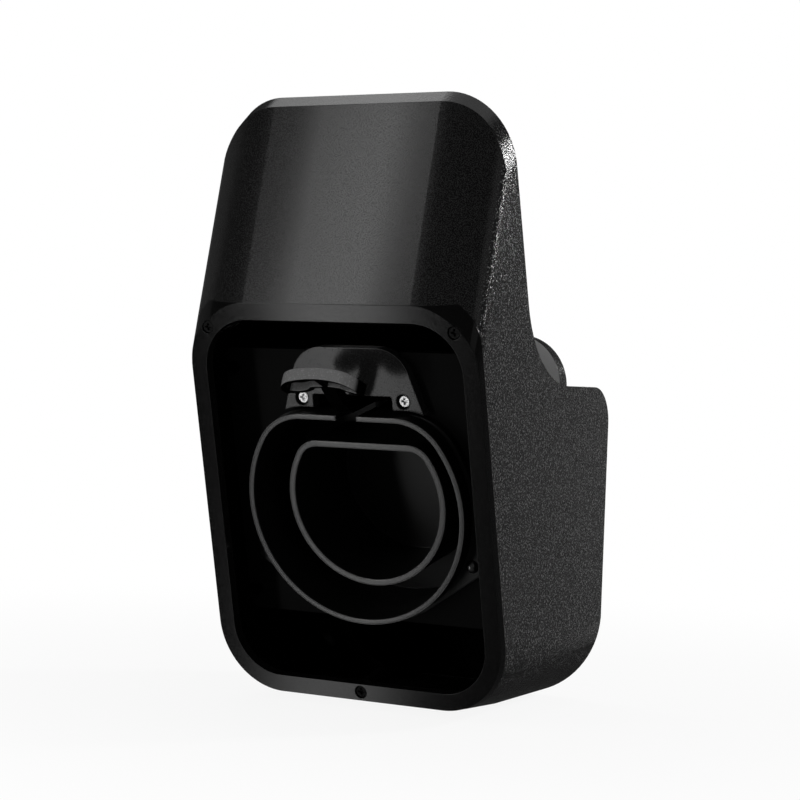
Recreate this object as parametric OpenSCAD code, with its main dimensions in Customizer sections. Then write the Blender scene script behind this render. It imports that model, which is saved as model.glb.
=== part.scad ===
// Wall holder for the charging connector of an electric car, with a cable rest behind its hood.
// Millimetres. The wall is the plane Y = 0, the front faces -Y, +X is right, +Z is up.
// Pieces are drawn from the lower edge of the front frame at Z = 0 and set down with the wall holes' middle
// as the origin.

/* [Housing] */
// overall width
body_w = 117; // [105:1:130]
// distance from the wall to the lower edge of the front frame
foot_depth = 81.6; // [70:0.2:95]
// forward lean of the front frame from the vertical, degrees
front_tilt = 14.6; // [8:0.2:20]
// height of the front frame along its slope
frame_h = 147.5; // [135:0.5:160]
// backward lean of the hood's front face, degrees
hood_lean = 13; // [8:0.5:18]
// length of the hood's front face along its slope
hood_len = 73.9; // [60:0.1:85]
// rise of the bevelled strip on top of the hood, degrees
strip_rise = 39; // [30:1:50]
// width of the bevelled strip on top of the hood
strip_w = 6.5; // [5:0.1:9]
// forward lean of the hood's back face, degrees
back_lean = 16.2; // [10:0.2:20]
// height of the cable shelf
shelf_z = 117.5; // [110:0.5:125]
// radius of the hollow that the cable lies in
cradle_r = 38.5; // [30:0.5:42]
// radius of the shelf's rear edge
shelf_rear_r = 14; // [10:0.5:18]
// radius of the body's lower corners and of the frame's corners
corner_r = 25; // [18:0.5:30]
// radius of the body's lower corners at the wall
rear_corner_r = 34; // [26:0.5:40]
// radius of the hood's upper corners
hood_corner_r = 24.5; // [18:0.5:30]
// width of the rounded side edge on the hood's front
edge_w = 24.5; // [18:0.5:30]
// depth of the rounded side edge on the hood's front
edge_d = 11.3; // [9:0.1:14]
// small radius where the rounded edge meets the side wall
edge_r = 6.5; // [5:0.1:8]
// fall of the bottom towards the wall, degrees
base_fall = 2.1; // [0:0.1:3]
// wall thickness of the shell
wall = 3; // [2.4:0.1:4]
// solid depth below the bevelled strip
hood_top_wall = 10; // [8:0.5:14]

/* [Front frame] */
// thickness of the frame
frame_t = 4; // [3:0.1:6]
// width of the rim round the opening
rim_w = 6.3; // [5:0.1:8]
// distance of the upper frame screws from the side walls
frame_screw_inset = 8.5; // [7.5:0.1:11]
// distance of the upper frame screws below the frame's upper edge
frame_screw_drop = 9.2; // [8:0.1:12]
// radius of the bosses behind the frame
boss_r = 3.4; // [3:0.1:4]
// length of the bosses behind the frame
boss_l = 13; // [11:0.5:18]

/* [Carrier] */
// depth of the carrier's front face behind the frame's front
carrier_q = 17; // [15:0.5:20]
// thickness of the carrier
carrier_t = 3; // [2.5:0.1:4]
// width of the carrier below the socket
carrier_lip = 1.45; // [1.2:0.05:3]
// height of the carrier above the bracket screws
carrier_rise = 17.1; // [15:0.1:19]
// radius of the carrier's corners
carrier_r = 4; // [2:0.5:8]
// distance of the carrier screws from the side walls
carrier_screw_inset = 7; // [6.5:0.1:7.5]
// distance of the carrier screws from the carrier's ends
carrier_screw_end = 7.7; // [6:0.1:10]
// width of the ledges that the carrier lies on
ledge_w = 7; // [6:0.5:9]
// thickness of the ledges that the carrier lies on
ledge_t = 6; // [5:0.5:8]

/* [Socket] */
// height of the socket's centre along the frame
socket_v = 71.3; // [68:0.1:75]
// outer radius of the cup
cup_r = 32.35; // [31:0.05:34]
// wall thickness of the cup
cup_t = 2.15; // [1.8:0.05:3]
// height of the cup's flat top above its centre
cup_flat = 21.7; // [20:0.1:23]
// radius of the cup's upper corners
cup_corner_r = 10; // [8:0.5:12]
// height of the cup's lip above the carrier's front
cup_proud = 0.8; // [0.5:0.1:3]
// distance of the cup's back wall behind the channel's floor
cup_tail = 12; // [8:0.5:13]
// thickness of the cup's back wall
cup_back_t = 2.2; // [1.8:0.1:3]
// width of the cup's collar behind the channel's floor
collar_w = 3; // [2:0.1:4]
// thickness of the cup's collar
collar_t = 2; // [1.5:0.1:3]
// width of the channel between cup and ring
channel_w = 10.2; // [9:0.1:12]
// width of the channel above the cup's flat top
channel_top_w = 10.6; // [9:0.1:12]
// depth of the channel's floor behind the carrier's front
channel_depth = 26; // [24:0.5:28]
// thickness of the channel's floor
channel_t = 2.5; // [2:0.1:4]
// wall thickness of the ring
ring_t = 1.7; // [1.4:0.1:2.5]
// radius of the ring's upper corners
ring_corner_r = 21; // [18:0.5:23]
// height of the ring's front edge above the carrier's front
ring_proud = 9.9; // [8:0.1:12]
// width of the slot in the ring's flat top
slot_w = 8.7; // [8:0.1:10]
// width of the flange round the ring
flange_w = 1.35; // [1:0.05:2.5]
// thickness of the flange
flange_t = 3; // [2.5:0.1:4]
// distance of the lug screws from the ring
lug_gap = 3.15; // [3:0.05:4.5]
// angle of the lug screws below the level line, degrees
lug_angle = 26.4; // [20:0.2:32]
// radius of the lugs
lug_end_r = 4.5; // [4:0.1:5.5]

/* [Latch bracket] */
// thickness of the bracket
bracket_t = 4.2; // [3.5:0.1:5]
// height of the bracket screws above the ring's flat top
bracket_screw_rise = 4.6; // [4.2:0.1:6]
// height of the bracket's upper edge above its screws
bracket_rise = 19.2; // [17:0.1:21]
// distance of the leg tips below the bracket screws
bracket_tip_drop = 6.4; // [5:0.1:7]
// distance of the leg tips outside the bracket screws
bracket_tip_out = 8.3; // [7:0.1:10]
// inward slant of the bracket's sides from tip to upper corner
bracket_slant = 8.4; // [6:0.1:10]
// radius of the bracket's upper corners
bracket_r = 13; // [10:0.5:14]
// width of the bracket's window
window_w = 32.8; // [30:0.1:36]
// height of the window's upper edge above the bracket screws
window_rise = 1.8; // [1.6:0.1:4]
// radius of the window's upper corners
window_r = 1; // [0.5:0.1:3]
// distance of the bracket screws from the window
bracket_screw_out = 4.5; // [4.2:0.1:6]
// depth of the pockets for the bracket screws' heads
bracket_pocket = 2.6; // [1.8:0.1:3]
// gap round the bracket screws' heads in their pockets
bracket_head_gap = 0.85; // [0.3:0.05:1.2]
// gap between the bracket's legs and the socket
bracket_gap = 1.4; // [0.6:0.1:2]

/* [Latch lever] */
// distance of the pivot behind the carrier's back
pivot_depth = 5.5; // [5:0.1:8]
// radius of the hub
hub_r = 3.5; // [3:0.1:3.8]
// radius of the pin
pin_r = 1.5; // [1.2:0.1:1.8]
// width of the thumb bar
bar_w = 31.2; // [26:0.2:36]
// thickness of the thumb bar
bar_t = 4.3; // [3.6:0.1:5]
// length of the thumb bar from front to back
bar_l = 9.5; // [8:0.5:12]
// radius of the thumb bar's front corners
bar_r = 6; // [4:0.5:8]
// radius of the thumb bar's arch
bar_arch = 47; // [40:1:70]
// rise of the thumb bar from the frame's normal, degrees
bar_tilt = 32.6; // [26:0.2:38]
// reach of the thumb bar in front of the bracket
bar_reach = 23; // [20:0.5:26]
// height of the thumb bar's front edge above the pivot
bar_rise = 15.3; // [13:0.1:18]
// width of the rim round the thumb bar's pockets
bar_rim = 2; // [1.6:0.1:2.6]
// depth of the thumb bar's pockets
bar_pocket = 3; // [2:0.1:3.4]
// width of the rib between the pockets
bar_rib = 2; // [1.5:0.1:3]
// width of the arm behind the thumb bar
arm_w = 5.6; // [5:0.1:7]
// gap between the arm and the window's upper edge
arm_gap = 0.8; // [0.5:0.1:1.2]
// gap between the spring's coil and the roof over it
roof_gap = 1.1; // [0.8:0.1:2]
// thickness of the roof over the spring
roof_t = 2; // [1.6:0.1:3]
// angle that the lever turns through when it is pressed
press_angle = 14; // [10:0.5:14]
// width of the hook
hook_w = 6.8; // [6:0.1:7.4]
// reach of the hook behind the pivot
hook_reach = 13.3; // [12.5:0.1:13.4]
// drop of the hook below the pivot
hook_drop = 12.8; // [12:0.1:13.2]

/* [Latch spring] */
// mean radius of the spring's coil
coil_r = 2.4; // [2.2:0.05:2.6]
// radius of the spring's wire
wire_r = 0.45; // [0.4:0.05:0.5]
// number of turns
coil_n = 7; // [5:1:7]
// place of the coil's first turn
coil_x = 6.6; // [6.4:0.1:6.8]
// reach of the spring's upper leg in front of the pin
leg_reach = 2.6; // [2.2:0.1:3.2]
// gap between the upper leg and the roof when the lever is fully pressed
leg_gap = 0.35; // [0.3:0.05:0.5]

/* [Wall plate] */
// thickness of the wall plate
plate_t = 4; // [3:0.1:5]
// thickness of the tab behind the shelf
tab_t = 6.5; // [6:0.1:8]
// distance of the tab's sides from the body's sides
tab_inset = 18.1; // [14:0.1:24]
// height of the tab's upper edge
tab_top_z = 137; // [130:0.5:142]
// radius of the tab's corners
tab_r = 20; // [12:0.5:24]
// sideways distance between the wall holes
hole_pitch_x = 60; // [50:1:70]
// upright distance between the wall holes
hole_pitch_z = 60; // [50:1:64]
// height of the lower wall holes
hole_low_z = 26; // [22:0.5:30]
// radius of the wall holes
hole_r = 2.6; // [2.1:0.1:3.2]
// depth of the recess for the wall screws' heads
hole_sink = 1.6; // [1:0.1:2]
// distance of the base screws from the wall
base_screw_y = 12; // [11:0.5:13]

/* [Screws] */
// head radius of the frame screws
frame_head_r = 2.1; // [1.9:0.05:2.3]
// head radius of the carrier screws
carrier_head_r = 2.4; // [2.2:0.05:2.6]
// head radius of the lug screws
lug_head_r = 2.5; // [2.2:0.05:2.6]
// head radius of the bracket screws
bracket_head_r = 2; // [1.8:0.05:2.4]
// head radius of the base screws
base_head_r = 2.6; // [2.4:0.05:2.8]
// height of the screw heads
head_h = 1.6; // [1.3:0.05:1.8]
// height of the flat base screws' heads
base_head_h = 1.2; // [1:0.05:1.3]
// shank radius of all screws
shank_r = 1.25; // [1.1:0.05:1.4]
// threaded length in plastic
bite = 7; // [5:0.5:8]
// width of the cross recess
recess_w = 0.7; // [0.5:0.05:0.9]

/* [Fits] */
// gap round a screw's shank in its threaded hole
shank_fit = 0.03; // [0.02:0.01:0.08]
// gap round a screw's shank in a passing hole
pass_fit = 0.25; // [0.1:0.05:0.4]
// gap round a screw's head in its pocket
head_fit = 0.3; // [0.2:0.05:0.5]
// gap round the pin in the carrier
pin_fit = 0.02; // [0.01:0.01:0.05]
// gap round the pin in the hub
hub_fit = 0.05; // [0.02:0.01:0.1]
// gap between carrier and side walls
carrier_fit = 0.4; // [0.2:0.05:0.8]
// gap round the socket in the carrier and below the bracket
socket_fit = 0.5; // [0.3:0.05:0.8]
// gap round the cup in the channel's floor
cup_fit = 0.1; // [0.05:0.05:0.3]
// swell of a rounded corner where it runs into a larger curve
blend = 0.03; // [0.02:0.01:0.06]
// gap round the wall plate
plate_fit = 0.5; // [0.3:0.05:0.8]

/* [Hidden] */
$fn = 96;

half_w = body_w / 2;
deep = 300;
foot = [-foot_depth, 0];
front_dir = [-sin(front_tilt), cos(front_tilt)];
front_in = [cos(front_tilt), sin(front_tilt)];
elbow = foot + frame_h * front_dir;
hood_dir = [sin(hood_lean), cos(hood_lean)];
hood_in = [cos(hood_lean), -sin(hood_lean)];
top_front = elbow + hood_len * hood_dir;
strip_dir = [cos(strip_rise), sin(strip_rise)];
strip_in = [sin(strip_rise), -cos(strip_rise)];
top_back = top_front + strip_w * strip_dir;
back_dir = [sin(back_lean), -cos(back_lean)];
back_in = [-cos(back_lean), -sin(back_lean)];
base_dir = [cos(base_fall), -sin(base_fall)];
base_in = [sin(base_fall), cos(base_fall)];
shelf_corner_y = top_back[0] + (top_back[1] - shelf_z) * tan(back_lean);
cradle_c = [shelf_corner_y + cradle_r / tan((90 + back_lean) / 2), shelf_z + cradle_r];
lip_z = shelf_z - shelf_rear_r;
edge_flat = half_w - edge_w;
edge_big_r = (pow(edge_w - edge_r, 2) + pow(edge_d, 2) - pow(edge_r, 2)) / (2 * (edge_d - edge_r));
edge_c1 = [edge_flat, edge_big_r];
edge_c2 = [half_w - edge_r, edge_d];
edge_u = (edge_c2 - edge_c1) / norm(edge_c2 - edge_c1);
rear_base_z = -foot_depth * tan(base_fall);
rear_shift = (rear_corner_r - corner_r) * (1 - sqrt(0.5)) + 0.3;
frame_screw_x = half_w - frame_screw_inset;
frame_screw_v = frame_h - frame_screw_drop;
frame_screw_low_v = 0.52 * rim_w;
ring_r = cup_r + channel_w + ring_t;
ring_flat = cup_flat + channel_top_w + ring_t;
ring_q = carrier_q - ring_proud;
cup_q = carrier_q - cup_proud;
channel_q = carrier_q + channel_depth;
cup_back_q = channel_q + cup_tail;
flange_q = carrier_q - flange_t;
flange_r = ring_r + flange_w;
lug_r = ring_r + lug_gap;
bracket_q = carrier_q - bracket_t;
bracket_screw_x = window_w / 2 + bracket_screw_out;
bracket_screw_v = socket_v + ring_flat + bracket_screw_rise;
bracket_top_v = bracket_screw_v + bracket_rise;
bracket_tip_v = bracket_screw_v - bracket_tip_drop;
bracket_tip_x = bracket_screw_x + bracket_tip_out;
bracket_cor_x = bracket_tip_x - bracket_slant;
window_top_v = bracket_screw_v + window_rise;
carrier_back_q = carrier_q + carrier_t;
carrier_low_v = socket_v - ring_r - carrier_lip;
carrier_top_v = bracket_screw_v + carrier_rise;
carrier_screw_x = half_w - carrier_screw_inset;
carrier_screw_low_v = carrier_low_v + carrier_screw_end;
carrier_screw_top_v = carrier_top_v - carrier_screw_end;
pivot_q = carrier_back_q + pivot_depth;
pivot_v = bracket_screw_v;
block_w = 7;
pin_l = 2 * bracket_screw_x + 0.9 * block_w;
hub_l = window_w;
bar_q = bracket_q - bar_reach;
bar_v = pivot_v + bar_rise;
bar_dir = [cos(bar_tilt), -sin(bar_tilt)];
bar_up = [sin(bar_tilt), cos(bar_tilt)];
coil_end = coil_x + 2 * wire_r * (coil_n - 1);
roof_v = pivot_v + coil_r + wire_r + roof_gap;
leg_v = pivot_v + (roof_v - pivot_v - wire_r) / cos(press_angle) - leg_reach * tan(press_angle) - leg_gap;
tab_w = body_w - 2 * tab_inset;
base_screw_x = hole_pitch_x / 3;
lug_pos = [lug_r * cos(lug_angle), -lug_r * sin(lug_angle)];
base_skin_z = -(foot_depth - base_screw_y) * tan(base_fall);

// crossing point of two lines in a plane, each given by a point and a direction
function meet(p, d, q, e) = p + d * (((q - p)[0] * e[1] - (q - p)[1] * e[0]) / (d[0] * e[1] - d[1] * e[0]));

// Frame of the tilted front: local y runs inwards, local z runs up along the frame
module on_front() {
    translate([0, -foot_depth, 0])
        rotate([front_tilt, 0, 0])
            children();
}

// Flat shape drawn on the front, from depth q0 to depth q1
module slab(q0, q1) {
    on_front()
        translate([0, q1, 0])
            rotate([90, 0, 0])
                linear_extrude(q1 - q0)
                    children();
}

// Shape drawn in depth and height of the front, along X from x0 to x1
module across(x0, x1) {
    on_front()
        translate([x0, 0, 0])
            rotate([90, 0, 90])
                linear_extrude(x1 - x0)
                    children();
}

module rounded(x0, x1, y0, y1, r) {
    translate([x0 + r, y0])
        square([x1 - x0 - 2 * r, y1 - y0]);
    translate([x0, y0 + r])
        square([x1 - x0, y1 - y0 - 2 * r]);
    for (x = [x0 + r, x1 - r])
        for (y = [y0 + r, y1 - r])
            translate([x, y])
                circle(r);
}

// Side view of the body, drawn k inside the outer skin and kf behind the front
module side_profile(k, kf) {
    tk = k > 0 ? hood_top_wall : 0;
    e = meet(foot + kf * front_in, front_dir, elbow + k * hood_in, hood_dir);
    t1 = meet(elbow + k * hood_in, hood_dir, top_front + tk * strip_in, strip_dir);
    t2 = meet(top_back + k * back_in, back_dir, top_front + tk * strip_in, strip_dir);
    b1 = meet(top_back + k * back_in, back_dir, [0, shelf_z - k], [1, 0]);
    f = meet(foot + kf * front_in, front_dir, foot + k * base_in, base_dir);
    r = meet(foot + k * base_in, base_dir, [-k, 0], [0, 1]);
    rr = shelf_rear_r - k;
    difference() {
        union() {
            polygon([f, e, t1, t2, b1, [-k, shelf_z - k], r]);
            if (k > 1)
                polygon([meet(foot + k * base_in, base_dir, [-k - 4, 0], [0, 1]),
                    meet(foot + k * base_in, base_dir, [2, 0], [0, 1]), [2, lip_z - 1], [-k - 4, lip_z - 1]]);
            difference() {
                polygon([cradle_c + (cradle_r + k) * back_in, b1, cradle_c - [0, cradle_r + k], cradle_c]);
                translate(cradle_c)
                    circle(cradle_r + k);
            }
        }
        translate([-k - rr, shelf_z - k - rr])
            difference() {
                square(rr + 1);
                circle(rr);
            }
    }
}

// Section across the hood: flat front, broad curve, tight curve, side wall
module hood_section(k) {
    hw = half_w - k;
    tx = edge_c1[0] + (edge_big_r - k) * edge_u[0];
    translate([-edge_flat, k])
        square([2 * edge_flat, deep]);
    translate([-hw, edge_d])
        square([2 * hw, deep]);
    for (m = [0, 1])
        mirror([m, 0]) {
            intersection() {
                translate(edge_c1)
                    circle(edge_big_r - k);
                translate([edge_flat - 0.5, 0])
                    square([tx - edge_flat + 0.5, edge_big_r]);
            }
            translate(edge_c2)
                circle(edge_r - k);
        }
}

// Section with two rounded corners at its foot
module foot_section(k, r) {
    hw = half_w - k;
    translate([-hw, r])
        square([2 * hw, deep]);
    translate([r - half_w, k])
        square([2 * (half_w - r), deep]);
    for (x = [r - half_w, half_w - r])
        translate([x, r])
            circle(r - k);
}

// Outer form of the body, or the same form k inside its skin
module form(k, kf) {
    difference() {
        form_blank(k, kf);
        rear_round(k);
    }
}

// Rounder lower corners that grow out of the frame's corners towards the wall
module rear_round(k) {
    run = atan2(rear_shift, foot_depth);
    for (m = [0, 1])
        mirror([m, 0, 0])
            translate([0, foot[0], foot[1]])
                rotate([-base_fall, 0, 0])
                    translate([half_w - rear_corner_r + rear_shift, 0, rear_corner_r - rear_shift])
                        rotate([run, 0, run])
                            translate([0, deep, 0])
                                rotate([90, 0, 0])
                                    linear_extrude(2 * deep)
                                        difference() {
                                            translate([0, -2 * rear_corner_r])
                                                square(2 * rear_corner_r);
                                            circle(rear_corner_r - k);
                                        }
}

module form_blank(k, kf) {
    intersection() {
        translate([k - half_w, 0, 0])
            rotate([90, 0, 90])
                linear_extrude(body_w - 2 * k)
                    side_profile(k, kf);
        translate([0, elbow[0], elbow[1]])
            rotate([-hood_lean, 0, 0])
                translate([0, 0, -deep])
                    linear_extrude(2 * deep)
                        hood_section(k);
        translate([0, foot[0], foot[1]])
            rotate([-base_fall, 0, 0])
                translate([0, deep, 0])
                    rotate([90, 0, 0])
                        linear_extrude(2 * deep)
                            foot_section(k, corner_r);
        translate([0, top_front[0], top_front[1]])
            rotate([strip_rise, 0, 0])
                translate([0, deep, 0])
                    rotate([90, 0, 0])
                        linear_extrude(2 * deep)
                            mirror([0, 1])
                                foot_section(k, hood_corner_r);
    }
}

// D-shaped outline with rounded upper corners, centred on the socket
module d_outline(r, h, rc) {
    m = r - rc + blend;
    cy = h - rc;
    cx = sqrt(m * m - cy * cy);
    translate([0, socket_v]) {
        intersection() {
            circle(r);
            translate([-2 * r, -2 * r])
                square([4 * r, 2 * r + cy * r / m]);
        }
        translate([-cx, 0])
            square([2 * cx, h]);
        for (x = [-cx, cx])
            translate([x, cy])
                circle(rc);
    }
}

// Block of space that the front frame fills
module frame_space() {
    slab(-deep, frame_t)
        translate([-body_w, -deep])
            square([2 * body_w, deep + frame_h]);
}

// Screw along Z with its head above Z = 0
module screw(hr, hh, l, dome) {
    difference() {
        union() {
            if (dome) {
                rs = (hr * hr + hh * hh) / (2 * hh);
                intersection() {
                    cylinder(r = hr, h = hh);
                    translate([0, 0, hh - rs])
                        sphere(rs);
                }
            } else {
                cylinder(r = hr, h = hh);
            }
            translate([0, 0, -l])
                cylinder(r = shank_r, h = l + 0.2);
        }
        if (!dome)
            for (a = [0, 90])
                rotate([0, 0, a])
                    translate([-hr * 0.62, -recess_w / 2, hh * 0.45])
                        cube([hr * 1.24, recess_w, hh]);
    }
}

// Screw driven into the front at a place, its head resting at depth q
module front_screw(x, q, v, hr, hh, l, dome) {
    on_front()
        translate([x, q, v])
            rotate([90, 0, 0])
                screw(hr, hh, l, dome);
}

// Round bore on the front at a place, between two depths
module bore(x, v, r, q0, q1) {
    slab(q0, q1)
        translate([x, v])
            circle(r);
}

// Housing
module housing() {
    color([0.12, 0.12, 0.13])
        difference() {
            union() {
                difference() {
                    form(0, 0);
                    form(wall, 0);
                }
                intersection() {
                    form(1, 0);
                    union() {
                        for (s = [-1, 1]) {
                            bore(s * frame_screw_x, frame_screw_v, boss_r, frame_t, frame_t + boss_l);
                            slab(frame_t, frame_t + boss_l)
                                translate([s * (frame_screw_x + 4) - 4, frame_screw_v - 1.2])
                                    square([8, 2.4]);
                            slab(carrier_back_q, carrier_back_q + ledge_t)
                                translate([s * (half_w - ledge_w / 2 - 1) - ledge_w / 2 - 1, carrier_low_v])
                                    square([ledge_w + 2, carrier_top_v - carrier_low_v]);
                        }
                        bore(0, frame_screw_low_v, boss_r, frame_t, frame_t + boss_l);
                    }
                }
            }
            frame_space();
            translate([-tab_w / 2 - plate_fit, -tab_t - plate_fit, lip_z - 6])
                cube([tab_w + 2 * plate_fit, tab_t + plate_fit + 2, shelf_rear_r + 12]);
            for (s = [-1, 1]) {
                bore(s * frame_screw_x, frame_screw_v, shank_r + shank_fit, frame_t - 1, frame_t + boss_l - 2);
                for (v = [carrier_screw_low_v, carrier_screw_top_v])
                    bore(s * carrier_screw_x, v, shank_r + shank_fit, carrier_back_q - 1,
                        carrier_back_q + ledge_t + 2);
                translate([s * base_screw_x, -base_screw_y, rear_base_z - 2]) {
                    cylinder(r = shank_r + pass_fit, h = 10);
                    cylinder(r = base_head_r + head_fit, h = base_skin_z - rear_base_z + 2 + base_head_h + 0.2);
                }
            }
            bore(0, frame_screw_low_v, shank_r + shank_fit, frame_t - 1, frame_t + boss_l - 2);
        }
}

// Front frame
module front_frame() {
    color([0.14, 0.14, 0.15])
        difference() {
            intersection() {
                form(0, 0);
                frame_space();
            }
            slab(-5, frame_t + 1)
                rounded(-half_w + rim_w, half_w - rim_w, rim_w, frame_h - rim_w, corner_r - rim_w);
            for (p = frame_screw_places()) {
                bore(p[0], p[1], shank_r + pass_fit, -1, frame_t + 1);
                bore(p[0], p[1], frame_head_r + head_fit, -1, head_h + 0.5);
            }
        }
}

function frame_screw_places() = [[-frame_screw_x, frame_screw_v], [frame_screw_x, frame_screw_v],
    [0, frame_screw_low_v]];

module frame_screw(i) {
    p = frame_screw_places()[i];
    color([0.05, 0.05, 0.05])
        front_screw(p[0], head_h + 0.5, p[1], frame_head_r, head_h, frame_t - head_h - 0.5 + bite, false);
}

module frame_screw_top_left() {
    frame_screw(0);
}

module frame_screw_top_right() {
    frame_screw(1);
}

module frame_screw_bottom() {
    frame_screw(2);
}

// Carrier plate
module carrier_plate() {
    cw = half_w - wall - carrier_fit;
    color([0.08, 0.08, 0.09])
        difference() {
            union() {
                slab(carrier_q, carrier_back_q)
                    rounded(-cw, cw, carrier_low_v, carrier_top_v, carrier_r);
                for (s = [-1, 1]) {
                    slab(carrier_back_q - 0.5, pivot_q + block_w / 2)
                        translate([s * (bracket_screw_x + 0.1), pivot_v])
                            square([block_w, block_w + 1], center = true);
                    bore(s * lug_pos[0], socket_v + lug_pos[1], 3.3, carrier_q, carrier_back_q + bite + 1);
                }
            }
            slab(carrier_q - 1, carrier_back_q + 30)
                d_outline(ring_r + socket_fit, ring_flat + socket_fit, ring_corner_r + socket_fit);
            slab(carrier_q - 1, carrier_back_q + 30)
                translate([-hub_l / 2 - 0.6, pivot_v - 6])
                    square([hub_l + 1.2, 18]);
            for (s = [-1, 1]) {
                bore(s * bracket_screw_x, bracket_screw_v, shank_r + shank_fit, carrier_q - 1, pivot_q - pin_r - 0.6);
                bore(s * lug_pos[0], socket_v + lug_pos[1], shank_r + shank_fit, carrier_q - 1,
                    carrier_back_q + bite + 2);
                for (v = [carrier_screw_low_v, carrier_screw_top_v])
                    bore(s * carrier_screw_x, v, shank_r + pass_fit, carrier_q - 1, carrier_back_q + 1);
            }
            across(-pin_l, pin_l)
                translate([pivot_q, pivot_v])
                    circle(pin_r + pin_fit);
        }
}

module carrier_screw(x, v) {
    color([0.06, 0.06, 0.06])
        front_screw(x, carrier_q, v, carrier_head_r, head_h, carrier_t + ledge_t - 0.5, false);
}

module carrier_screw_lower_left() {
    carrier_screw(-carrier_screw_x, carrier_screw_low_v);
}

module carrier_screw_lower_right() {
    carrier_screw(carrier_screw_x, carrier_screw_low_v);
}

module carrier_screw_upper_left() {
    carrier_screw(-carrier_screw_x, carrier_screw_top_v);
}

module carrier_screw_upper_right() {
    carrier_screw(carrier_screw_x, carrier_screw_top_v);
}

// Socket insert
module socket_insert() {
    b = acos((flange_r - lug_end_r) / lug_r);
    color([0.1, 0.1, 0.11])
        difference() {
            union() {
                slab(ring_q, channel_q + channel_t)
                    d_outline(ring_r, ring_flat, ring_corner_r);
                slab(flange_q, carrier_q)
                    d_outline(flange_r, ring_flat, ring_corner_r);
                for (m = [0, 1])
                    slab(flange_q, carrier_q)
                        mirror([m, 0])
                            translate([0, socket_v])
                                rotate(-lug_angle) {
                                    polygon([[0, 0], flange_r * [cos(b), -sin(b)],
                                        [lug_r, 0] + lug_end_r * [cos(b), -sin(b)],
                                        [lug_r, 0] + lug_end_r * [cos(b), sin(b)], flange_r * [cos(b), sin(b)]]);
                                    translate([lug_r, 0])
                                        circle(lug_end_r);
                                }
            }
            slab(ring_q - 1, channel_q)
                d_outline(ring_r - ring_t, ring_flat - ring_t, ring_corner_r - ring_t);
            slab(channel_q - 1, channel_q + channel_t + 1)
                d_outline(cup_r + cup_fit, cup_flat + cup_fit, cup_corner_r + cup_fit);
            slab(ring_q - 1, channel_q)
                translate([-slot_w / 2, socket_v + ring_flat - ring_t - 2])
                    square([slot_w, ring_t + 4]);
            for (s = [-1, 1])
                bore(s * lug_pos[0], socket_v + lug_pos[1], shank_r + pass_fit, flange_q - 1, carrier_q + 1);
        }
}

// Cup of the socket, pushed through the channel's floor from behind up to its collar
module socket_cup() {
    collar_q = channel_q + channel_t;
    color([0.1, 0.1, 0.11])
        difference() {
            union() {
                slab(cup_q, cup_back_q + cup_back_t)
                    d_outline(cup_r, cup_flat, cup_corner_r);
                slab(collar_q, collar_q + collar_t)
                    d_outline(cup_r + collar_w, cup_flat + collar_w, cup_corner_r + collar_w);
            }
            slab(cup_q - 1, cup_back_q)
                d_outline(cup_r - cup_t, cup_flat - cup_t, cup_corner_r - cup_t);
        }
}

module insert_screw(s) {
    color([0.05, 0.05, 0.06])
        front_screw(s * lug_pos[0], flange_q, socket_v + lug_pos[1], lug_head_r, head_h + 0.3,
            flange_t + carrier_t + bite - 1, true);
}

module insert_screw_left() {
    insert_screw(-1);
}

module insert_screw_right() {
    insert_screw(1);
}

// Latch bracket
module latch_bracket() {
    slope = atan2(bracket_top_v - bracket_tip_v, bracket_tip_x - bracket_cor_x);
    run = bracket_r / tan((180 - slope) / 2);
    color([0.13, 0.13, 0.14])
        difference() {
            slab(bracket_q, carrier_q)
                difference() {
                    polygon([[-bracket_tip_x, bracket_tip_v], [-bracket_cor_x, bracket_top_v],
                        [bracket_cor_x, bracket_top_v], [bracket_tip_x, bracket_tip_v]]);
                    for (m = [0, 1])
                        mirror([m, 0])
                            difference() {
                                polygon([[bracket_cor_x - run, bracket_top_v], [bracket_cor_x - run, bracket_top_v + 1],
                                    [bracket_cor_x + 4, bracket_top_v + 1],
                                    [bracket_cor_x + run * cos(slope) + 1, bracket_top_v - run * sin(slope)],
                                    [bracket_cor_x + run * cos(slope), bracket_top_v - run * sin(slope)],
                                    [bracket_cor_x - run, bracket_top_v - bracket_r]]);
                                translate([bracket_cor_x - run, bracket_top_v - bracket_r])
                                    circle(bracket_r);
                            }
                    rounded(-window_w / 2, window_w / 2, socket_v, window_top_v, window_r);
                    d_outline(flange_r + bracket_gap, ring_flat + bracket_gap, ring_corner_r + bracket_gap);
                }
            for (s = [-1, 1]) {
                bore(s * bracket_screw_x, bracket_screw_v, shank_r + pass_fit, bracket_q - 1, carrier_q + 1);
                bore(s * bracket_screw_x, bracket_screw_v, bracket_head_r + bracket_head_gap, bracket_q - 1,
                    bracket_q + bracket_pocket);
            }
        }
}

module bracket_screw(s) {
    color([0.75, 0.76, 0.78])
        front_screw(s * bracket_screw_x, bracket_q + bracket_pocket, bracket_screw_v, bracket_head_r, head_h,
            pivot_q - pin_r - 1.2 - bracket_q - bracket_pocket, false);
}

module bracket_screw_left() {
    bracket_screw(-1);
}

module bracket_screw_right() {
    bracket_screw(1);
}

// Outline of the thumb bar from its front edge at y = 0, drawn k inside its edge
module bar_outline(k) {
    hw = bar_w / 2;
    translate([k - hw, bar_r])
        square([bar_w - 2 * k, bar_l - bar_r - k]);
    translate([bar_r - hw, k])
        square([bar_w - 2 * bar_r, bar_r]);
    for (x = [bar_r - hw, hw - bar_r])
        translate([x, bar_r])
            circle(bar_r - k);
}

// Arched layer of the thumb bar between two heights
module arch(z0, z1) {
    translate([0, -bar_l, -bar_arch])
        rotate([-90, 0, 0])
            linear_extrude(3 * bar_l)
                difference() {
                    circle(bar_arch + z1);
                    circle(bar_arch + z0);
                }
}

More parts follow.
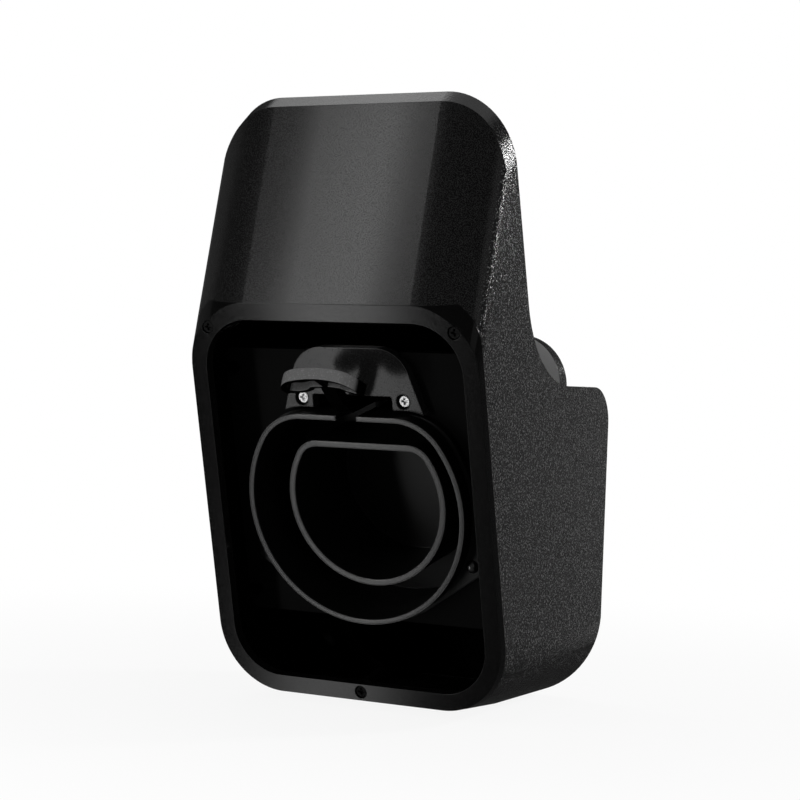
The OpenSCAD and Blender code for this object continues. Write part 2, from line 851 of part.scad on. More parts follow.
// Thumb bar, hollowed from below on both sides of its rib
module thumb_bar() {
    on_front()
        translate([0, bar_q, bar_v])
            rotate([-bar_tilt, 0, 0])
                difference() {
                    intersection() {
                        arch(-bar_t / 2, bar_t / 2);
                        translate([0, 0, -bar_w / 2])
                            linear_extrude(bar_w)
                                bar_outline(0);
                    }
                    intersection() {
                        arch(-bar_t, bar_pocket - bar_t / 2);
                        translate([0, 0, -bar_w / 2])
                            linear_extrude(bar_w)
                                difference() {
                                    bar_outline(bar_rim);
                                    translate([-bar_rib / 2, 0])
                                        square([bar_rib, bar_l]);
                                }
                    }
                }
}

// Latch lever
module latch_lever() {
    neck = [bar_q, bar_v] + (bar_l - bar_rim / 2) * bar_dir;
    arm_top = window_top_v - arm_gap;
    color([0.13, 0.13, 0.14])
        difference() {
            union() {
                thumb_bar();
                across(-arm_w / 2, arm_w / 2)
                    polygon([neck + 0.35 * bar_t * bar_up, [bracket_q - 7, window_top_v + 1.6],
                        [bracket_q - 1.2, arm_top], [carrier_q + 1, arm_top], [pivot_q, pivot_v + hub_r - 0.1],
                        [pivot_q, pivot_v - hub_r + 0.1], [bracket_q - 4.5, pivot_v - hub_r + 0.1],
                        [bracket_q - 11, pivot_v + 1.5], neck - 0.35 * bar_t * bar_up]);
                across(-hub_l / 2, hub_l / 2) {
                    translate([pivot_q, pivot_v])
                        circle(hub_r);
                    translate([pivot_q - 5, roof_v])
                        square([10, roof_t]);
                }
                for (x = [[-hub_l / 2, coil_x - 1], [coil_end + 1, hub_l / 2]])
                    across(x[0], x[1])
                        translate([pivot_q - 3, pivot_v])
                            square([6, roof_v - pivot_v + roof_t / 2]);
                across(-hook_w / 2, hook_w / 2)
                    polygon([[pivot_q - 1, pivot_v + hub_r - 0.4], [pivot_q + hook_reach - 5, pivot_v + hub_r - 0.4],
                        [pivot_q + hook_reach, pivot_v], [pivot_q + hook_reach, pivot_v - hook_drop + 1.2],
                        [pivot_q + hook_reach - 1.6, pivot_v - hook_drop],
                        [pivot_q + hook_reach - 4, pivot_v - hook_drop + 2.4],
                        [pivot_q + hook_reach - 3.4, pivot_v - hub_r + 0.2], [pivot_q, pivot_v - hub_r + 0.2]]);
            }
            across(coil_x - 1, coil_end + 1)
                translate([pivot_q - 7, pivot_v - 6])
                    square([14, roof_v - pivot_v + 6]);
            across(-pin_l, pin_l)
                translate([pivot_q, pivot_v])
                    circle(pin_r + hub_fit);
        }
}

// Latch pin
module latch_pin() {
    color([0.7, 0.71, 0.73])
        across(-pin_l / 2, pin_l / 2)
            translate([pivot_q, pivot_v])
                circle(pin_r);
}

// Straight piece of spring wire from one place to another in depth and height
module wire(x, a, b) {
    on_front()
        translate([x, a[0], a[1]])
            rotate([atan2(a[0] - b[0], b[1] - a[1]), 0, 0])
                cylinder(r = wire_r, h = norm(b - a));
}

// Latch spring
module latch_spring() {
    color([0.6, 0.61, 0.63])
        union() {
            on_front()
                translate([coil_x, pivot_q, pivot_v])
                    rotate([0, 90, 0])
                        rotate_extrude()
                            for (i = [0 : coil_n - 1])
                                translate([coil_r - wire_r, 2 * wire_r * i]) {
                                    translate([0, -wire_r])
                                        square([wire_r * 1.5, 2 * wire_r + 0.01]);
                                    translate([0, -0.7 * wire_r])
                                        square([2 * wire_r, 1.4 * wire_r]);
                                }
            wire(coil_x, [pivot_q, pivot_v - coil_r + 0.1], [pivot_q - 6.4, pivot_v - coil_r - 1.6]);
            wire(coil_end, [pivot_q, pivot_v + coil_r - 0.1], [pivot_q - leg_reach, leg_v]);
        }
}

// Wall plate
module wall_plate() {
    pw = half_w - wall - plate_fit;
    low = rear_base_z + wall + plate_fit;
    color([0.17, 0.17, 0.18])
        difference() {
            union() {
                intersection() {
                    translate([0, 0, 0])
                        rotate([90, 0, 0])
                            linear_extrude(plate_t)
                                rounded(-pw, pw, low, lip_z - 1 - plate_fit, 4);
                    translate([0, 2, rear_base_z])
                        rotate([90, 0, 0])
                            linear_extrude(plate_t + 4)
                                foot_section(wall + plate_fit, rear_corner_r);
                }
                rotate([90, 0, 0])
                    linear_extrude(tab_t)
                        rounded(-tab_w / 2, tab_w / 2, lip_z - 30, tab_top_z, tab_r);
                for (s = [-1, 1])
                    translate([s * base_screw_x - 6, -base_screw_y - 6, base_skin_z + wall + plate_fit])
                        cube([12, base_screw_y + 6 - plate_t / 2, 8]);
            }
            for (s = [-1, 1]) {
                for (z = [hole_low_z, hole_low_z + hole_pitch_z])
                    translate([s * hole_pitch_x / 2, 1, z])
                        rotate([90, 0, 0]) {
                            cylinder(r = hole_r, h = 20);
                            translate([0, 0, plate_t + 1 - hole_sink])
                                cylinder(r = hole_r * 2, h = 20);
                        }
                translate([s * base_screw_x, -base_screw_y, base_skin_z])
                    cylinder(r = shank_r + shank_fit, h = 20);
            }
        }
}

module base_screw(s) {
    color([0.3, 0.3, 0.32])
        translate([s * base_screw_x, -base_screw_y, base_skin_z + base_head_h + 0.2])
            rotate([180, 0, 0])
                screw(base_head_r, base_head_h, bite + 2, false);
}

module base_screw_left() {
    base_screw(-1);
}

module base_screw_right() {
    base_screw(1);
}

// The origin is the middle of the wall holes on the wall's plane
module place() {
    translate([0, 0, -hole_low_z - hole_pitch_z / 2])
        children();
}

place() housing();
place() front_frame();
place() frame_screw_top_left();
place() frame_screw_top_right();
place() frame_screw_bottom();
place() carrier_plate();
place() carrier_screw_lower_left();
place() carrier_screw_lower_right();
place() carrier_screw_upper_left();
place() carrier_screw_upper_right();
place() socket_insert();
place() socket_cup();
place() insert_screw_left();
place() insert_screw_right();
place() latch_bracket();
place() bracket_screw_left();
place() bracket_screw_right();
place() latch_lever();
place() latch_pin();
place() latch_spring();
place() wall_plate();
place() base_screw_left();
place() base_screw_right();
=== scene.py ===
# Wall holder for the charging connector of an electric car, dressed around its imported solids.
import math

import bmesh
import bpy
from mathutils import Matrix, Vector


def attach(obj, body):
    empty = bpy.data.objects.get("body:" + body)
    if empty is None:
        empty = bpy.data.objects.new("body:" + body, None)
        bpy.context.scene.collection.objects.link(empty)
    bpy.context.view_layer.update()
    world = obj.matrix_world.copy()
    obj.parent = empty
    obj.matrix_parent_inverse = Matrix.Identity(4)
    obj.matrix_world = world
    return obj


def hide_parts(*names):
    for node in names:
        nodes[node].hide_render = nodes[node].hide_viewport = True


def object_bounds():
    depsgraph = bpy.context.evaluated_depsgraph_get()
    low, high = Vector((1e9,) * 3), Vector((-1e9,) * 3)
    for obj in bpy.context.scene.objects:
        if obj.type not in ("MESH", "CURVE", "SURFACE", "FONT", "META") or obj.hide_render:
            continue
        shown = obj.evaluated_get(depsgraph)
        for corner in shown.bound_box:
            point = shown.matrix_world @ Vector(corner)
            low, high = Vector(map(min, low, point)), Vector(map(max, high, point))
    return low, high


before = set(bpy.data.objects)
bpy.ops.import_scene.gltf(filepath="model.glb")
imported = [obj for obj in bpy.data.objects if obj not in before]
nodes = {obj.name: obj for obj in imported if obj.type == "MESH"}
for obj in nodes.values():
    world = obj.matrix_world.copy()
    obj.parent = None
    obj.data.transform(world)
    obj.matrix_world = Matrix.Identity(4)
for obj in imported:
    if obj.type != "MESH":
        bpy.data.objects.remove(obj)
cad_low, cad_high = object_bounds()
scene = bpy.context.scene
scene.view_settings.view_transform = "Standard"

# Camera.
# A long lens level with the holder's middle and well to its right, turned a little about its own axis.
view_azimuth = math.radians(28.64)
view_elevation = math.radians(0.5)
view_roll = math.radians(2.17)
view_distance = 0.78566
focal_px = 2079.92
picture_px = 800
sensor_mm = 36
holder_middle = Vector((0, -0.05, 0.054))
aim_left = 0.00529
aim_down = 0.00011
level_forward = Vector((-math.sin(view_azimuth), math.cos(view_azimuth), 0))
forward = level_forward * math.cos(view_elevation) - Vector((0, 0, math.sin(view_elevation)))
level = Vector((math.cos(view_azimuth), math.sin(view_azimuth), 0))
upright = level.cross(forward)
right = math.cos(view_roll) * level + math.sin(view_roll) * upright
above = math.cos(view_roll) * upright - math.sin(view_roll) * level
aim = holder_middle - aim_left * level - aim_down * upright
lens = bpy.data.cameras.new("camera")
lens.sensor_width = sensor_mm
lens.lens = sensor_mm * focal_px / picture_px
camera = bpy.data.objects.new("camera", lens)
stance = Matrix((right, above, -forward)).transposed().to_4x4()
camera.matrix_world = Matrix.Translation(aim - view_distance * forward) @ stance
scene.collection.objects.link(camera)
scene.camera = camera

# Light table.
# A white translucent sheet that the holder stands on; it takes the shadow and lets light through from below.
table_gap = 0.0004
table_half = 4
table_tone = 0.9
shadow_from = 0.1
shadow_to = 0.42
shadow_glow = 0.9


def grey(value):
    return (value, value, value, 1)


def maths(tree, operation, *terms):
    step = tree.nodes.new("ShaderNodeMath")
    step.operation = operation
    for i, term in enumerate(terms):
        if isinstance(term, bpy.types.NodeSocket):
            tree.links.new(term, step.inputs[i])
        else:
            step.inputs[i].default_value = term
    return step.outputs[0]


def ramp(tree, value, start, end, low=0, high=1):
    slope = tree.nodes.new("ShaderNodeMapRange")
    slope.interpolation_type = "SMOOTHSTEP"
    tree.links.new(value, slope.inputs["Value"])
    for label, number in (("From Min", start), ("From Max", end), ("To Min", low), ("To Max", high)):
        slope.inputs[label].default_value = number
    return slope.outputs["Result"]


table_z = cad_low.z - table_gap
corners = [(-1, -1), (1, -1), (1, 1), (-1, 1)]
sheet = bpy.data.meshes.new("light_table")
sheet.from_pydata([(table_half * x, table_half * y, table_z) for x, y in corners], [], [(0, 1, 2, 3)])
table = bpy.data.objects.new("light_table", sheet)
scene.collection.objects.link(table)
table.visible_shadow = False
table.visible_glossy = False
table_white = bpy.data.materials.new("table_white")
table_white.use_nodes = True
tree = table_white.node_tree
tree.nodes.clear()
table_out = tree.nodes.new("ShaderNodeOutputMaterial")
table_paint = tree.nodes.new("ShaderNodeBsdfDiffuse")
table_paint.inputs["Color"].default_value = grey(table_tone)
table_glow = tree.nodes.new("ShaderNodeEmission")
table_rays = tree.nodes.new("ShaderNodeLightPath")
table_mix = tree.nodes.new("ShaderNodeMixShader")
table_place = tree.nodes.new("ShaderNodeTexCoord")
table_reach = tree.nodes.new("ShaderNodeVectorMath")
table_reach.operation = "LENGTH"
tree.links.new(table_place.outputs["Object"], table_reach.inputs[0])
table_share = ramp(tree, table_reach.outputs["Value"], shadow_from, shadow_to, shadow_glow, 1)
table_seen = maths(tree, "MULTIPLY", table_rays.outputs["Is Camera Ray"], table_share)
tree.links.new(table_seen, table_mix.inputs[0])
tree.links.new(table_paint.outputs[0], table_mix.inputs[1])
tree.links.new(table_glow.outputs[0], table_mix.inputs[2])
tree.links.new(table_mix.outputs[0], table_out.inputs["Surface"])
sheet.materials.append(table_white)

# Studio.
# White paper for the eye on every side and for reflections behind the holder; the room in front of it is dim.
# Two strip lamps at the front left draw the light band on the hood, and soft boxes edge the other sides.
behind_from = 0.95
behind_to = 0.995
dim_room = 0.03
paper_behind = 0.6
room_fill = 0.3
lamp_aim = Vector((0, -0.08, 0.06))
studio = bpy.data.worlds.new("studio")
scene.world = studio
studio.cycles.sampling_method = "NONE"
studio.use_nodes = True
tree = studio.node_tree
tree.nodes.clear()
studio_out = tree.nodes.new("ShaderNodeOutputWorld")
studio_paper = tree.nodes.new("ShaderNodeBackground")
studio_paper.inputs["Color"].default_value = grey(1)
studio_rays = tree.nodes.new("ShaderNodeLightPath")
studio_way = tree.nodes.new("ShaderNodeTexCoord")
studio_parts = tree.nodes.new("ShaderNodeSeparateXYZ")
tree.links.new(studio_way.outputs["Generated"], studio_parts.inputs[0])
rays = studio_rays.outputs
mirrored = ramp(tree, studio_parts.outputs["Y"], behind_from, behind_to, dim_room, paper_behind)
mirrored = maths(tree, "MULTIPLY", rays["Is Glossy Ray"], mirrored)
around = maths(tree, "MULTIPLY_ADD", rays["Is Diffuse Ray"], room_fill, mirrored)
seen = maths(tree, "MAXIMUM", rays["Is Camera Ray"], rays["Is Transmission Ray"])
tree.links.new(maths(tree, "MAXIMUM", seen, around), studio_paper.inputs["Strength"])
tree.links.new(studio_paper.outputs[0], studio_out.inputs["Surface"])


def soft_box(name, spot, width, height, watts, lean=0):
    lamp = bpy.data.lights.new(name, "AREA")
    lamp.shape = "RECTANGLE"
    lamp.size = width
    lamp.size_y = height
    lamp.energy = watts
    box = bpy.data.objects.new(name, lamp)
    look = (lamp_aim - Vector(spot)).normalized()
    facing = look.to_track_quat("-Z", "Y").to_matrix().to_4x4()
    box.matrix_world = Matrix.Translation(spot) @ facing @ Matrix.Rotation(math.radians(lean), 4, "Z")
    scene.collection.objects.link(box)


soft_box("strip_front_left", (-0.66, -1.12, 0.225), width=0.12, height=1.45, watts=2.45)
soft_box("strip_low_left", (-0.73, -1.12, -0.72), width=0.12, height=0.5, watts=0.55, lean=-17)
soft_box("box_left", (-1.1, 0.1, 0.3), width=0.9, height=1.2, watts=0.3)
soft_box("box_right_rear", (0.72, 0.72, 0.47), width=0.14, height=0.14, watts=5.5)
soft_box("box_right", (1.05, -0.5, 0.3), width=0.7, height=0.9, watts=0.4)
soft_box("box_top_left", (-0.55, 0.25, 1), width=0.45, height=0.4, watts=0.8)
soft_box("box_above", (0, 0.25, 1.15), width=1.3, height=0.45, watts=1.2)

# Housing.
# One injection moulding in black plastic that carries everything else. The tool is finely matted on the
# hood's front and spark-eroded on the sides, back and shelf, which leaves a coarse grain with bright crests.
wall_inner = 0.0561
wall_blur = 0.0006
mouth_top = 0.08
mouth_blur = 0.004
shelf_from = 0.04
shelf_to = 0.05
# Near-black painted shade, with a high metallic value, for the mouth's interior and the wall plate's covered
# faces.
painted_shade_tone = 0.0015
painted_shade_metallic = 0.85
inner_dullness = 0.7
coarse_gloss = -0.05
grain_depth = 0.0002
fine_share = 0.03
crown_depth = 0.00065
crown_from = 0.013
crown_to = 0.054


def tint(tree, share, under, over):
    layer = tree.nodes.new("ShaderNodeMix")
    layer.data_type = "RGBA"
    tree.links.new(share, layer.inputs["Factor"])
    for label, tone in (("A", under), ("B", over)):
        if isinstance(tone, bpy.types.NodeSocket):
            tree.links.new(tone, layer.inputs[label])
        else:
            layer.inputs[label].default_value = grey(tone)
    return layer.outputs["Result"]


def grain_group():
    group = bpy.data.node_groups.new("moulded_grain", "ShaderNodeTree")
    for label in ("Pebbles per metre", "Crest from", "Crest to"):
        group.interface.new_socket(name=label, in_out="INPUT", socket_type="NodeSocketFloat")
    for label in ("Crests", "Height"):
        group.interface.new_socket(name=label, in_out="OUTPUT", socket_type="NodeSocketFloat")
    take = group.nodes.new("NodeGroupInput")
    give = group.nodes.new("NodeGroupOutput")
    where = group.nodes.new("ShaderNodeTexCoord")
    pebble = group.nodes.new("ShaderNodeTexNoise")
    pebble.inputs["Detail"].default_value = 1.5
    pebble.inputs["Roughness"].default_value = 0.55
    group.links.new(where.outputs["Object"], pebble.inputs["Vector"])
    group.links.new(take.outputs["Pebbles per metre"], pebble.inputs["Scale"])
    crest = group.nodes.new("ShaderNodeMapRange")
    crest.interpolation_type = "SMOOTHSTEP"
    group.links.new(pebble.outputs["Fac"], crest.inputs["Value"])
    group.links.new(take.outputs["Crest from"], crest.inputs["From Min"])
    group.links.new(take.outputs["Crest to"], crest.inputs["From Max"])
    group.links.new(crest.outputs["Result"], give.inputs["Crests"])
    group.links.new(pebble.outputs["Fac"], give.inputs["Height"])
    return group


moulded_grain = grain_group()


def edge_group():
    group = bpy.data.node_groups.new("rounded_edge", "ShaderNodeTree")
    group.interface.new_socket(name="Radius", in_out="INPUT", socket_type="NodeSocketFloat")
    group.interface.new_socket(name="Edge", in_out="OUTPUT", socket_type="NodeSocketFloat")
    group.interface.new_socket(name="Normal", in_out="OUTPUT", socket_type="NodeSocketVector")
    take = group.nodes.new("NodeGroupInput")
    give = group.nodes.new("NodeGroupOutput")
    soft = group.nodes.new("ShaderNodeBevel")
    soft.samples = 6
    group.links.new(take.outputs["Radius"], soft.inputs["Radius"])
    sharp = group.nodes.new("ShaderNodeNewGeometry")
    dot = group.nodes.new("ShaderNodeVectorMath")
    dot.operation = "DOT_PRODUCT"
    group.links.new(soft.outputs["Normal"], dot.inputs[0])
    group.links.new(sharp.outputs["Normal"], dot.inputs[1])
    mask = group.nodes.new("ShaderNodeMapRange")
    mask.inputs["From Min"].default_value = 0.99
    mask.inputs["From Max"].default_value = 0.8
    group.links.new(dot.outputs["Value"], mask.inputs["Value"])
    group.links.new(mask.outputs["Result"], give.inputs["Edge"])
    group.links.new(soft.outputs["Normal"], give.inputs["Normal"])
    return group


rounded_edge = edge_group()


def grained(tree, pebbles, crests):
    grain = tree.nodes.new("ShaderNodeGroup")
    grain.node_tree = moulded_grain
    grain.inputs["Pebbles per metre"].default_value = pebbles
    grain.inputs["Crest from"].default_value = crests[0]
    grain.inputs["Crest to"].default_value = crests[1]
    return grain


def edged(tree, radius):
    edge = tree.nodes.new("ShaderNodeGroup")
    edge.node_tree = rounded_edge
    edge.inputs["Radius"].default_value = radius
    return edge


def dented(tree, height, distance, edge):
    dent = tree.nodes.new("ShaderNodeBump")
    dent.inputs["Distance"].default_value = distance
    tree.links.new(height, dent.inputs["Height"])
    tree.links.new(edge.outputs["Normal"], dent.inputs["Normal"])
    tree.links.new(dent.outputs["Normal"], tree.nodes["Principled BSDF"].inputs["Normal"])


def split_surface(tree):
    where = tree.nodes.new("ShaderNodeTexCoord")
    spot = tree.nodes.new("ShaderNodeSeparateXYZ")
    face = tree.nodes.new("ShaderNodeSeparateXYZ")
    tree.links.new(where.outputs["Object"], spot.inputs[0])
    tree.links.new(where.outputs["Normal"], face.inputs[0])
    return spot.outputs, face.outputs


def new_plastic(name, shine):
    mat = bpy.data.materials.new(name)
    mat.use_nodes = True
    skin = mat.node_tree.nodes["Principled BSDF"]
    skin.inputs["IOR"].default_value = 1.5
    skin.inputs["Specular IOR Level"].default_value = shine
    return mat, mat.node_tree, skin


def dress(node, mat):
    slots = nodes[node].data.materials
    if not slots:
        slots.append(mat)
    for i in range(len(slots)):
        slots[i] = mat


housing_skin, tree, skin = new_plastic("housing_grain", shine=0.45)
grain = grained(tree, pebbles=1500, crests=(0.55, 0.67))
fine = grained(tree, pebbles=3000, crests=(0.4, 0.62))
edge = edged(tree, radius=0.0003)
spot, face = split_surface(tree)

# The mouth's interior is painted near-black shade, with a high metallic value and more roughness that keep it
# dark; the shelf and the hood's back belong to the outside.
off_middle = maths(tree, "ABSOLUTE", spot["X"])
between_walls = ramp(tree, off_middle, wall_inner + wall_blur, wall_inner)
under_hood = ramp(tree, spot["Z"], mouth_top + mouth_blur, mouth_top)
not_underneath = ramp(tree, face["Z"], -0.5, -0.2)
faces_up = ramp(tree, face["Z"], 0.5, 0.7)
shelf_top = maths(tree, "MULTIPLY", faces_up, ramp(tree, spot["Z"], shelf_from, shelf_to))
at_the_back = maths(tree, "MAXIMUM", ramp(tree, face["Y"], 0.2, 0.4), shelf_top)
enclosed = maths(tree, "MULTIPLY", between_walls, maths(tree, "SUBTRACT", 1, at_the_back))
shaded_inside = maths(tree, "MULTIPLY", maths(tree, "MULTIPLY", enclosed, under_hood), not_underneath)

# Faces turned to a side, to the back, up or down have the coarse grain, the slanting front the fine one.
sideways = maths(tree, "MAXIMUM", maths(tree, "ABSOLUTE", face["X"]), face["Y"])
turned = maths(tree, "MAXIMUM", sideways, maths(tree, "ABSOLUTE", face["Z"]))
coarse = maths(tree, "MULTIPLY", ramp(tree, turned, 0.72, 0.88), maths(tree, "SUBTRACT", 1, shaded_inside))
fine_fleck = tint(tree, fine.outputs["Crests"], 0.003, 0.021)
coarse_fleck = tint(tree, grain.outputs["Crests"], 0.01, 0.1)
fleck = tint(tree, coarse, fine_fleck, coarse_fleck)
tree.links.new(tint(tree, shaded_inside, fleck, painted_shade_tone), skin.inputs["Base Color"])
matte = ramp(tree, fine.outputs["Height"], 0.3, 0.7, 0.17, 0.23)
matte = maths(tree, "MULTIPLY_ADD", coarse, coarse_gloss, matte)
tree.links.new(maths(tree, "MULTIPLY_ADD", shaded_inside, inner_dullness, matte), skin.inputs["Roughness"])
tree.links.new(maths(tree, "MULTIPLY", shaded_inside, painted_shade_metallic), skin.inputs["Metallic"])

# The hood's front is a little crowned, which lets the light band fade towards both edges.
crown = ramp(tree, off_middle, crown_from, crown_to, 0, -crown_depth / grain_depth)
relief = maths(tree, "MULTIPLY_ADD", fine.outputs["Height"], fine_share, crown)
relief = maths(tree, "MULTIPLY_ADD", grain.outputs["Height"], coarse, relief)
dented(tree, relief, grain_depth, edge)
dress("housing", housing_skin)

# Front frame.
# A flat black moulding screwed over the housing's mouth, smoother than the hood's front.
moulded_crests = (0.5, 0.78)
moulded_depth = 0.000005
gloss_change = 0.03


def plastic(name, pebbles, tones, gloss, shine, edge_radius):
    mat, tree, skin = new_plastic(name, shine)
    grain = grained(tree, pebbles, moulded_crests)
    edge = edged(tree, edge_radius)
    valley_tone, crest_tone, edge_tone = tones
    fleck = tint(tree, grain.outputs["Crests"], valley_tone, crest_tone)
    tree.links.new(tint(tree, edge.outputs["Edge"], fleck, edge_tone), skin.inputs["Base Color"])
    matte = ramp(tree, grain.outputs["Height"], 0.2, 0.8, gloss - gloss_change, gloss + gloss_change)
    tree.links.new(matte, skin.inputs["Roughness"])
    dented(tree, grain.outputs["Height"], moulded_depth, edge)
    return mat


frame_matte = plastic("frame_matte", pebbles=1700, tones=(0.003, 0.006, 0.012), gloss=0.12, shine=0.26,
                      edge_radius=0.0003)
dress("front_frame", frame_matte)

# Frame screws.
# Three small black steel screws, their heads sunk in the rim.
steel_edge = 0.00025
steel_crests = (0.45, 0.75)
scuff_change = 0.08


def steel(name, tone, scuff_tone, gloss, scratches):
    mat = bpy.data.materials.new(name)
    mat.use_nodes = True
    tree = mat.node_tree
    skin = tree.nodes["Principled BSDF"]
    skin.inputs["Metallic"].default_value = 1
    grain = grained(tree, scratches, steel_crests)
    edge = edged(tree, steel_edge)
    tree.links.new(tint(tree, grain.outputs["Crests"], tone, scuff_tone), skin.inputs["Base Color"])
    scuffed = ramp(tree, grain.outputs["Height"], 0, 1, gloss - scuff_change, gloss + scuff_change)
    tree.links.new(scuffed, skin.inputs["Roughness"])
    tree.links.new(edge.outputs["Normal"], skin.inputs["Normal"])
    return mat


black_steel = steel("black_oxide", tone=0.012, scuff_tone=0.03, gloss=0.4, scratches=2500)
for place in ("top_left", "top_right", "bottom"):
    dress("frame_screw_" + place, black_steel)

# Carrier plate and its screws.
# A black sheet moulding across the housing that holds the socket and the latch; four hidden screws fix it.
carrier_dull = plastic("carrier_dull", pebbles=2200, tones=(0.002, 0.003, 0.004), gloss=0.6, shine=0.12,
                       edge_radius=0.0004)
dress("carrier_plate", carrier_dull)
for place in ("lower_left", "lower_right", "upper_left", "upper_right"):
    dress("carrier_screw_" + place, black_steel)

# Socket.
# A flanged outer ring and the blind cup that stands in it, moulded in dull black. Their front lips are turned
# smooth by the connectors that are pushed in and out over them; the lips are painted lighter than the rest as
# painted light, with painted highlight lines along their edges.
front_tilt = math.radians(14.6)
inwards = Vector((0, math.cos(front_tilt), math.sin(front_tilt)))
front_foot = Vector((0, -0.0816, -0.056))
front_place = front_foot.dot(inwards)
lip_edge = 0.0008
lip_from = 0.0012
lip_to = 0.0004
lip_polish = -0.3


def along(tree, label, direction):
    where = tree.nodes.new("ShaderNodeTexCoord")
    share = tree.nodes.new("ShaderNodeVectorMath")
    share.operation = "DOT_PRODUCT"
    share.inputs[1].default_value = direction
    tree.links.new(where.outputs[label], share.inputs[0])
    return share.outputs["Value"]


def lipped(name, lip_depth):
    mat, tree, skin = new_plastic(name, shine=0.65)
    grain = grained(tree, 2000, moulded_crests)
    edge = edged(tree, lip_edge)
    lip_place = front_place + lip_depth
    lip = ramp(tree, along(tree, "Object", inwards), lip_place + lip_from, lip_place + lip_to)
    body = tint(tree, grain.outputs["Crests"], 0.0015, 0.003)
    # The lip band is painted lighter, as painted light, and its edges get bright painted highlight lines.
    lip_painted_highlight = tint(tree, edge.outputs["Edge"], 0.02, 0.2)
    tree.links.new(tint(tree, lip, body, lip_painted_highlight), skin.inputs["Base Color"])
    matte = ramp(tree, grain.outputs["Height"], 0.2, 0.8, 0.47, 0.55)
    tree.links.new(maths(tree, "MULTIPLY_ADD", lip, lip_polish, matte), skin.inputs["Roughness"])
    dented(tree, grain.outputs["Height"], moulded_depth, edge)
    return mat


dress("socket_insert", lipped("ring_dull", lip_depth=0.0071))
dress("socket_cup", lipped("cup_dull", lip_depth=0.0162))
grey_steel = steel("grey_steel", tone=0.3, scuff_tone=0.42, gloss=0.3, scratches=2000)
for side in ("left", "right"):
    dress("insert_screw_" + side, grey_steel)

# Latch bracket.
# A black moulding on the carrier that guides the lever; two bright zinc screws sit in its deep pockets.
bracket_satin = plastic("bracket_satin", pebbles=2000, tones=(0.012, 0.02, 0.1), gloss=0.22, shine=0.5,
                        edge_radius=0.0004)
dress("latch_bracket", bracket_satin)
zinc = steel("bright_zinc", tone=0.7, scuff_tone=0.86, gloss=0.28, scratches=1800)
for side in ("left", "right"):
    dress("bracket_screw_" + side, zinc)

# Latch lever and pin.
# A thumb bar on an arm that swings on a steel pin. The bar's faces that turn to the front and up are painted
# pale grey as painted light; its underside and the arm behind it are painted near-black shade, with a high
# metallic value that keeps them dark.
upwards = Vector((0, -math.sin(front_tilt), math.cos(front_tilt)))
bar_from = 0.002
bar_to = -0.001
arm_shade_tone = 0.002
arm_shade_metallic = 0.85
lever_skin, tree, skin = new_plastic("lever_dull", shine=0.5)
grain = grained(tree, 2000, moulded_crests)
edge = edged(tree, radius=0.0006)
on_bar = ramp(tree, along(tree, "Object", inwards), front_place + bar_from, front_place + bar_to)
faces_front_up = ramp(tree, along(tree, "Normal", upwards - inwards), 0.3, 0.8)
# The bar's front and top faces are painted pale as painted light; the rest of the lever is painted near-black
# shade.
lit_bar = maths(tree, "MULTIPLY", on_bar, faces_front_up)
fleck = tint(tree, grain.outputs["Crests"], 0.17, 0.3)
tree.links.new(tint(tree, lit_bar, arm_shade_tone, fleck), skin.inputs["Base Color"])
tree.links.new(maths(tree, "MULTIPLY_ADD", lit_bar, -arm_shade_metallic, arm_shade_metallic), skin.inputs["Metallic"])
tree.links.new(ramp(tree, grain.outputs["Height"], 0.2, 0.8, 0.46, 0.54), skin.inputs["Roughness"])
dented(tree, grain.outputs["Height"], moulded_depth, edge)
dress("latch_lever", lever_skin)
dark_wire = steel("phosphated_wire", tone=0.05, scuff_tone=0.09, gloss=0.38, scratches=1500)
dress("latch_pin", dark_wire)

# Latch spring.
# Phosphated wire wound round the pin. Its lower leg stands on the socket's flat top, the upper one under the
# lever's roof, so that it lifts the thumb bar and holds the hook down.
wire_r = 0.00045
wire_sides = 10
coil_r = 0.0024
coil_turns = 5.5
steps_per_turn = 24
coil_start = 0.0066
coil_end = 0.012
pin_depth = 0.0255
pin_height = 0.1099
leg_low = (pin_depth - 0.0062, pin_height - 0.00395)
leg_high = (pin_depth - 0.00255, pin_height + 0.0026)


def at_front(x, depth, height):
    return front_foot + Vector((x, 0, 0)) + inwards * depth + upwards * height


def wound_wire(name, path, radius, sides):
    mesh = bmesh.new()
    rings = []
    for i, point in enumerate(path):
        ahead = (path[min(i + 1, len(path) - 1)] - path[max(i - 1, 0)]).normalized()
        out = ahead.cross(Vector((1, 0, 0))).normalized()
        other = ahead.cross(out)
        ring = []
        for k in range(sides):
            turn = 2 * math.pi * k / sides
            ring.append(mesh.verts.new(point + radius * (math.cos(turn) * out + math.sin(turn) * other)))
        rings.append(ring)
    for a, b in zip(rings, rings[1:]):
        for k in range(sides):
            side = mesh.faces.new((a[k], a[(k + 1) % sides], b[(k + 1) % sides], b[k]))
            side.smooth = True
    mesh.faces.new(rings[0])
    mesh.faces.new(rings[-1][::-1])
    bmesh.ops.recalc_face_normals(mesh, faces=mesh.faces[:])
    data = bpy.data.meshes.new(name)
    mesh.to_mesh(data)
    mesh.free()
    piece = bpy.data.objects.new(name, data)
    scene.collection.objects.link(piece)
    return piece


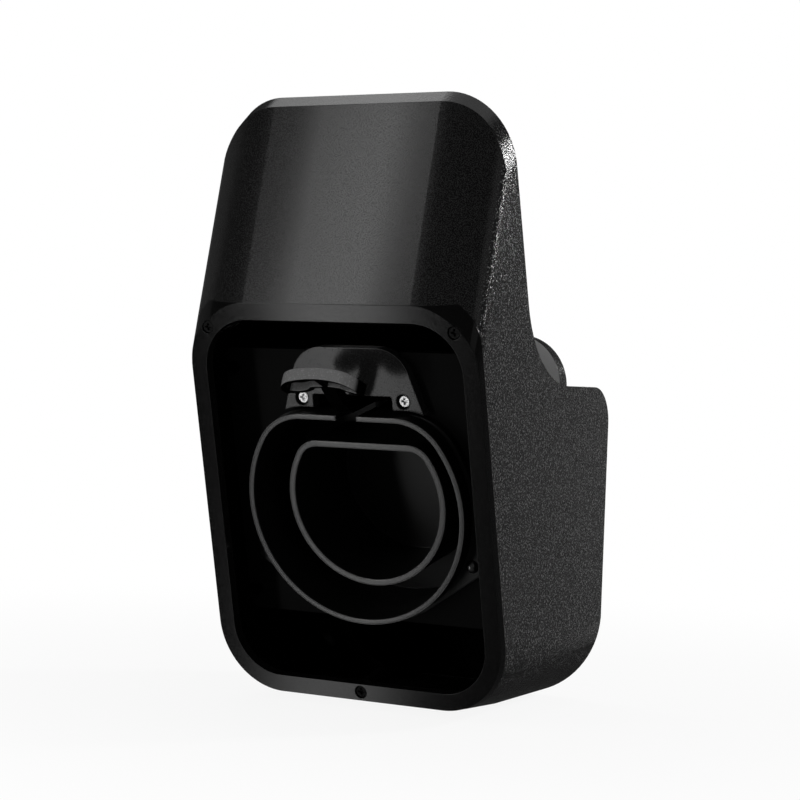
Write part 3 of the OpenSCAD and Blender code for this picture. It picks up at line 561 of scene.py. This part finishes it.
wire_path = [at_front(coil_start, *leg_low)]
coil_steps = round(coil_turns * steps_per_turn)
for i in range(coil_steps + 1):
    turn = 2 * math.pi * coil_turns * i / coil_steps
    place = coil_start + (coil_end - coil_start) * i / coil_steps
    depth = pin_depth + coil_r * math.sin(turn)
    height = pin_height - coil_r * math.cos(turn)
    wire_path.append(at_front(place, depth, height))
wire_path.append(at_front(coil_end, *leg_high))
spring = wound_wire("wound_spring", wire_path, wire_r, wire_sides)
spring.data.materials.append(dark_wire)
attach(spring, "base")
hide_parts("latch_spring")

# Wall plate and base screws.
# The plate that is screwed to the wall first: black and grained like the housing, with a smooth face on the
# tab that stands up behind the cable shelf, painted pale grey as painted light; below the tab, the faces that
# don't look to the back are painted near-black shade.
# Two screws from below hold the housing on it.
tab_from = 0.054
tab_to = 0.058
tab_painted_light_tone = 0.8
tab_dullness = 0.3
tab_smoothness = 0.97
hidden_dullness = 0.6
plate_grain_depth = 0.00016
plate_skin, tree, skin = new_plastic("plate_grain", shine=0.45)
grain = grained(tree, pebbles=1500, crests=(0.52, 0.68))
edge = edged(tree, radius=0.0003)
spot, face = split_surface(tree)
tab = ramp(tree, spot["Z"], tab_from, tab_to)
# Below the tab, faces not turned to the back are painted near-black shade, with a high metallic value that
# keeps them dark.
hidden = maths(tree, "MULTIPLY", maths(tree, "SUBTRACT", 1, tab), ramp(tree, face["Y"], 0.6, 0.3))
# The tab's front face is painted pale grey, painted light that stands in for the light falling on it.
smooth = maths(tree, "MULTIPLY", ramp(tree, face["Y"], -0.8, -0.95), tab)
fleck = tint(tree, grain.outputs["Crests"], 0.014, 0.1)
fleck = tint(tree, smooth, fleck, tab_painted_light_tone)
tree.links.new(tint(tree, hidden, fleck, painted_shade_tone), skin.inputs["Base Color"])
matte = ramp(tree, grain.outputs["Height"], 0.2, 0.8, 0.15, 0.19)
matte = maths(tree, "MULTIPLY_ADD", smooth, tab_dullness, matte)
tree.links.new(maths(tree, "MULTIPLY_ADD", hidden, hidden_dullness, matte), skin.inputs["Roughness"])
tree.links.new(maths(tree, "MULTIPLY", hidden, painted_shade_metallic), skin.inputs["Metallic"])
relief = maths(tree, "MULTIPLY_ADD", smooth, -tab_smoothness, 1)
dented(tree, maths(tree, "MULTIPLY", grain.outputs["Height"], relief), plate_grain_depth, edge)
dress("wall_plate", plate_skin)
for side in ("left", "right"):
    dress("base_screw_" + side, black_steel)
